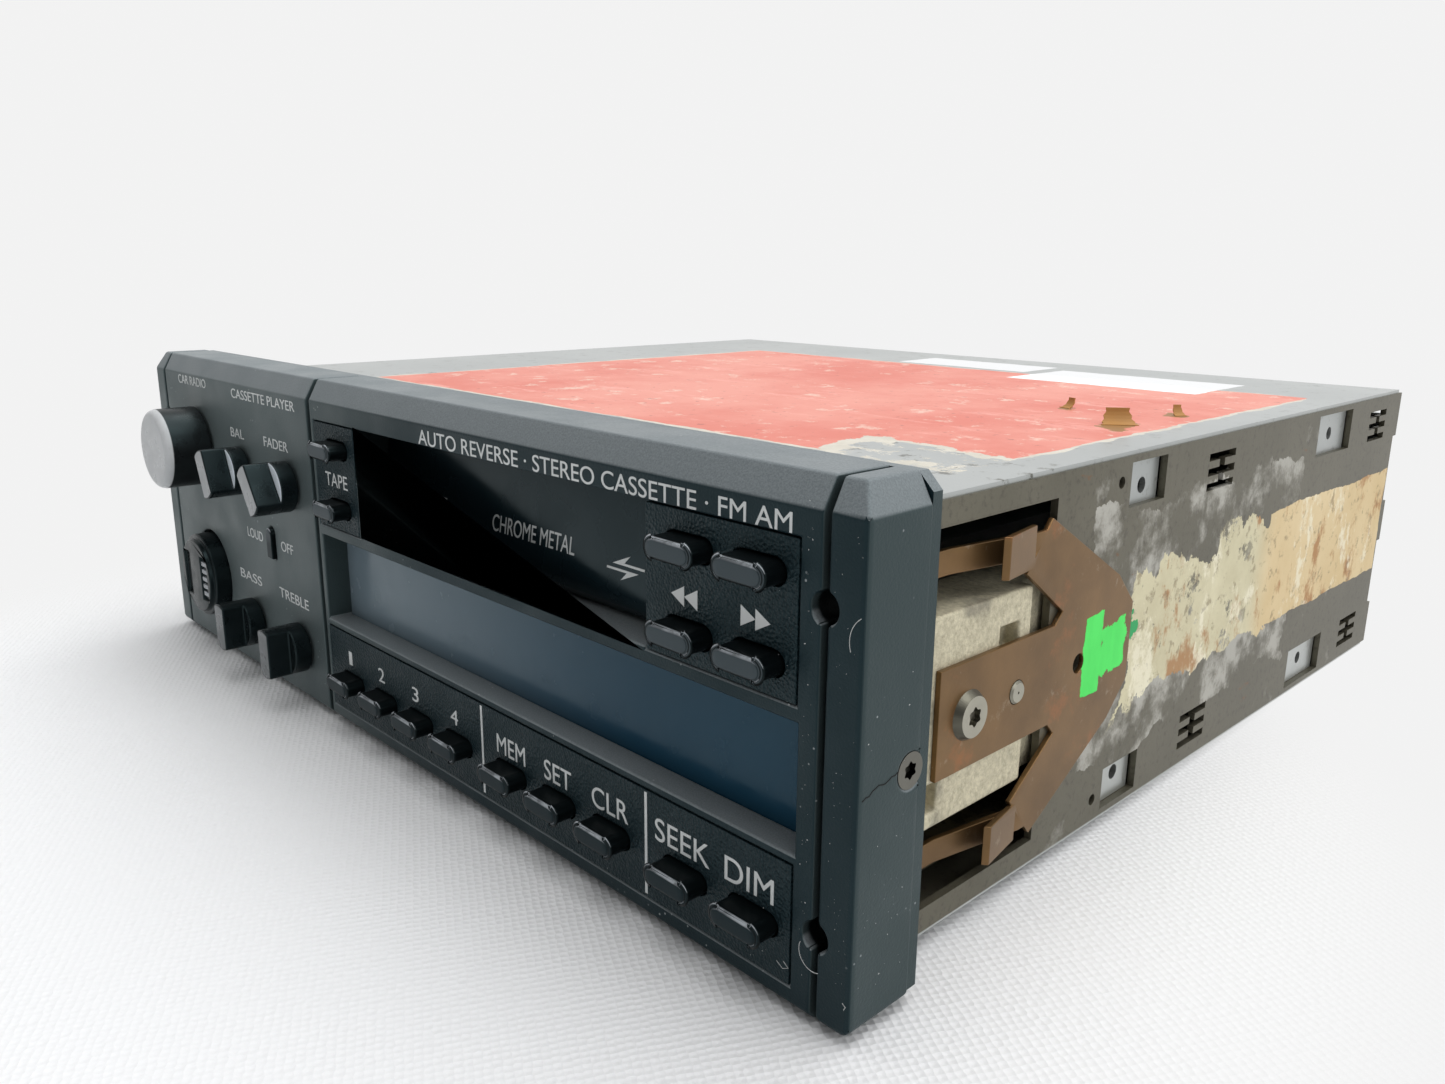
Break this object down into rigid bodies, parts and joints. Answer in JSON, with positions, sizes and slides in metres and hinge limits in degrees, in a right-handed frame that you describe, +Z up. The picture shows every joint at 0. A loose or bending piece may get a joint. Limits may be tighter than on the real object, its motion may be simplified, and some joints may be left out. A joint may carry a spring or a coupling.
{
  "type": "car radio cassette player",
  "caption": "Single-DIN car radio with cassette player: plastic fascia with knobs, keys, display and tape slot on a sheet-steel chassis with side retaining springs.",
  "frame": {"origin": "centre of the dash sleeve's opening, in the plane of the fascia's rear face, level with the middle of the chassis", "axes": "+X along the fascia to the right as the driver sees it, +Y into the dash, +Z up"},
  "size_m": [0.188, 0.188, 0.058],
  "materials": {
    "fascia_plastic": "moulded black plastic with a fine grain",
    "panel_plastic": "textured black plastic",
    "door_plastic": "smooth black plastic",
    "key_plastic": "smooth black plastic, worn grey on the front edges",
    "knob_plastic": "smooth black plastic",
    "lens_plastic": "dark blue tinted clear plastic",
    "circuit_board": "green lacquered laminate",
    "plate_steel": "zinc plated sheet steel, dull and stained",
    "cover_steel": "zinc plated sheet steel",
    "spring_steel": "spring steel with brown tarnish",
    "die_casting": "grainy die-cast metal",
    "screw_steel": "bright plated steel",
    "black_screw": "blackened steel",
    "control_metal": "plated steel",
    "connector_plastic": "black plastic",
    "sink_aluminium": "extruded aluminium",
    "brass": "turned brass",
    "belt_rubber": "black rubber",
    "spindle_plastic": "white plastic"
  },
  "bodies": {
    "chassis": {"side_frame_l": "plate_steel", "side_frame_r": "plate_steel", "rear_panel": "cover_steel", "top_cover": "cover_steel", "bottom_cover": "cover_steel", "side_castings": "die_casting", "retaining_springs": "spring_steel", "spring_fasteners": "screw_steel", "front_frame": "fascia_plastic", "end_cap_l": "fascia_plastic", "end_cap_r": "fascia_plastic", "cap_screws": "black_screw", "knob_moulding": "fascia_plastic", "main_moulding": "fascia_plastic", "side_key_panel": "panel_plastic", "transport_panel": "panel_plastic", "preset_panel": "panel_plastic", "display_lens": "lens_plastic", "display_module": "lens_plastic", "front_board": "circuit_board", "rotary_controls": "control_metal", "tact_switches": "connector_plastic", "main_board": "circuit_board", "tuner_module": "cover_steel", "heat_sink": "sink_aluminium", "rear_connector": "connector_plastic", "aerial_socket": "screw_steel", "rear_stud": "screw_steel", "deck_plate": "cover_steel", "deck_motor": "control_metal", "drive_belt": "belt_rubber"},
    "volume_knob": {"volume_knob": "knob_plastic"},
    "balance_knob": {"balance_knob": "knob_plastic"},
    "fader_knob": {"fader_knob": "knob_plastic"},
    "bass_knob": {"bass_knob": "knob_plastic"},
    "treble_knob": {"treble_knob": "knob_plastic"},
    "tuning_rocker": {"tuning_rocker": "knob_plastic"},
    "loudness_key": {"loudness_key": "key_plastic"},
    "side_key_1": {"side_key_1": "key_plastic"},
    "side_key_2": {"side_key_2": "key_plastic"},
    "transport_key_1": {"transport_key_1": "key_plastic"},
    "transport_key_2": {"transport_key_2": "key_plastic"},
    "transport_key_3": {"transport_key_3": "key_plastic"},
    "transport_key_4": {"transport_key_4": "key_plastic"},
    "preset_key_1": {"preset_key_1": "key_plastic"},
    "preset_key_2": {"preset_key_2": "key_plastic"},
    "preset_key_3": {"preset_key_3": "key_plastic"},
    "preset_key_4": {"preset_key_4": "key_plastic"},
    "preset_key_5": {"preset_key_5": "key_plastic"},
    "preset_key_6": {"preset_key_6": "key_plastic"},
    "preset_key_7": {"preset_key_7": "key_plastic"},
    "preset_key_8": {"preset_key_8": "key_plastic"},
    "preset_key_9": {"preset_key_9": "key_plastic"},
    "cassette_door": {"cassette_door": "door_plastic"},
    "motor_pulley": {"motor_pulley": "brass"},
    "flywheel_a": {"flywheel_a": "brass"},
    "flywheel_b": {"flywheel_b": "brass"},
    "reel_spindle_a": {"reel_spindle_a": "spindle_plastic"},
    "reel_spindle_b": {"reel_spindle_b": "spindle_plastic"},
    "head_carriage": {"head_carriage": "control_metal"}
  },
  "joints": [
    {"name": "volume_knob_turn", "type": "hinge", "parent": "chassis", "child": "volume_knob", "pos_m": [-0.0726, -0.012, 0.0133], "axis": [0, -1, 0], "range_deg": [-150, 150]},
    {"name": "balance_knob_turn", "type": "hinge", "parent": "chassis", "child": "balance_knob", "pos_m": [-0.0514, -0.012, 0.0113], "axis": [0, -1, 0], "range_deg": [-140, 140]},
    {"name": "fader_knob_turn", "type": "hinge", "parent": "chassis", "child": "fader_knob", "pos_m": [-0.0314, -0.012, 0.0113], "axis": [0, -1, 0], "range_deg": [-140, 140]},
    {"name": "bass_knob_turn", "type": "hinge", "parent": "chassis", "child": "bass_knob", "pos_m": [-0.0514, -0.012, -0.0175], "axis": [0, -1, 0], "range_deg": [-140, 140]},
    {"name": "treble_knob_turn", "type": "hinge", "parent": "chassis", "child": "treble_knob", "pos_m": [-0.0314, -0.012, -0.0175], "axis": [0, -1, 0], "range_deg": [-140, 140]},
    {"name": "tuning_rocker_tilt", "type": "hinge", "parent": "chassis", "child": "tuning_rocker", "pos_m": [-0.0722, -0.0082, -0.0125], "axis": [1, 0, 0], "range_deg": [-4, 4], "stiffness_Nm_per_rad": 0.15},
    {"name": "loudness_key_press", "type": "slide", "parent": "chassis", "child": "loudness_key", "axis": [0, 1, 0], "range_m": [0, 0.001], "stiffness_N_per_m": 400, "springref_m": -0.002},
    {"name": "side_key_1_press", "type": "slide", "parent": "chassis", "child": "side_key_1", "axis": [0, 1, 0], "range_m": [0, 0.001], "stiffness_N_per_m": 400, "springref_m": -0.002},
    {"name": "side_key_2_press", "type": "slide", "parent": "chassis", "child": "side_key_2", "axis": [0, 1, 0], "range_m": [0, 0.001], "stiffness_N_per_m": 400, "springref_m": -0.002},
    {"name": "transport_key_1_press", "type": "slide", "parent": "chassis", "child": "transport_key_1", "axis": [0, 1, 0], "range_m": [0, 0.001], "stiffness_N_per_m": 400, "springref_m": -0.002},
    {"name": "transport_key_2_press", "type": "slide", "parent": "chassis", "child": "transport_key_2", "axis": [0, 1, 0], "range_m": [0, 0.001], "stiffness_N_per_m": 400, "springref_m": -0.002},
    {"name": "transport_key_3_press", "type": "slide", "parent": "chassis", "child": "transport_key_3", "axis": [0, 1, 0], "range_m": [0, 0.001], "stiffness_N_per_m": 400, "springref_m": -0.002},
    {"name": "transport_key_4_press", "type": "slide", "parent": "chassis", "child": "transport_key_4", "axis": [0, 1, 0], "range_m": [0, 0.001], "stiffness_N_per_m": 400, "springref_m": -0.002},
    {"name": "preset_key_1_press", "type": "slide", "parent": "chassis", "child": "preset_key_1", "axis": [0, 1, 0], "range_m": [0, 0.001], "stiffness_N_per_m": 400, "springref_m": -0.002},
    {"name": "preset_key_2_press", "type": "slide", "parent": "chassis", "child": "preset_key_2", "axis": [0, 1, 0], "range_m": [0, 0.001], "stiffness_N_per_m": 400, "springref_m": -0.002},
    {"name": "preset_key_3_press", "type": "slide", "parent": "chassis", "child": "preset_key_3", "axis": [0, 1, 0], "range_m": [0, 0.001], "stiffness_N_per_m": 400, "springref_m": -0.002},
    {"name": "preset_key_4_press", "type": "slide", "parent": "chassis", "child": "preset_key_4", "axis": [0, 1, 0], "range_m": [0, 0.001], "stiffness_N_per_m": 400, "springref_m": -0.002},
    {"name": "preset_key_5_press", "type": "slide", "parent": "chassis", "child": "preset_key_5", "axis": [0, 1, 0], "range_m": [0, 0.001], "stiffness_N_per_m": 400, "springref_m": -0.002},
    {"name": "preset_key_6_press", "type": "slide", "parent": "chassis", "child": "preset_key_6", "axis": [0, 1, 0], "range_m": [0, 0.001], "stiffness_N_per_m": 400, "springref_m": -0.002},
    {"name": "preset_key_7_press", "type": "slide", "parent": "chassis", "child": "preset_key_7", "axis": [0, 1, 0], "range_m": [0, 0.001], "stiffness_N_per_m": 400, "springref_m": -0.002},
    {"name": "preset_key_8_press", "type": "slide", "parent": "chassis", "child": "preset_key_8", "axis": [0, 1, 0], "range_m": [0, 0.001], "stiffness_N_per_m": 400, "springref_m": -0.002},
    {"name": "preset_key_9_press", "type": "slide", "parent": "chassis", "child": "preset_key_9", "axis": [0, 1, 0], "range_m": [0, 0.001], "stiffness_N_per_m": 400, "springref_m": -0.002},
    {"name": "cassette_door_swing", "type": "hinge", "parent": "chassis", "child": "cassette_door", "pos_m": [0, -0.0044, 0.0222], "axis": [1, 0, 0], "range_deg": [0, 80], "stiffness_Nm_per_rad": 0.002, "springref_deg": -17.19},
    {"name": "flywheel_a_spin", "type": "hinge", "parent": "chassis", "child": "flywheel_a", "pos_m": [0.00635, 0.019, 0], "axis": [0, 0, 1], "continuous": true},
    {"name": "flywheel_b_spin", "type": "hinge", "parent": "chassis", "child": "flywheel_b", "pos_m": [0.00635, 0.085, 0], "axis": [0, 0, 1], "continuous": true},
    {"name": "motor_pulley_spin", "type": "hinge", "parent": "chassis", "child": "motor_pulley", "pos_m": [0.05035, 0.093, 0], "axis": [0, 0, 1], "continuous": true},
    {"name": "reel_spindle_a_spin", "type": "hinge", "parent": "chassis", "child": "reel_spindle_a", "pos_m": [0.03035, 0.03075, 0], "axis": [0, 0, 1], "continuous": true},
    {"name": "reel_spindle_b_spin", "type": "hinge", "parent": "chassis", "child": "reel_spindle_b", "pos_m": [0.03035, 0.07325, 0], "axis": [0, 0, 1], "continuous": true},
    {"name": "head_carriage_slide", "type": "slide", "parent": "chassis", "child": "head_carriage", "axis": [1, 0, 0], "range_m": [0, 0.0095]}
  ],
  "couplings": [
    {"joint": "flywheel_b_spin", "follows": "flywheel_a_spin", "ratio": 1},
    {"joint": "motor_pulley_spin", "follows": "flywheel_a_spin", "ratio": 4.25}
  ]
}
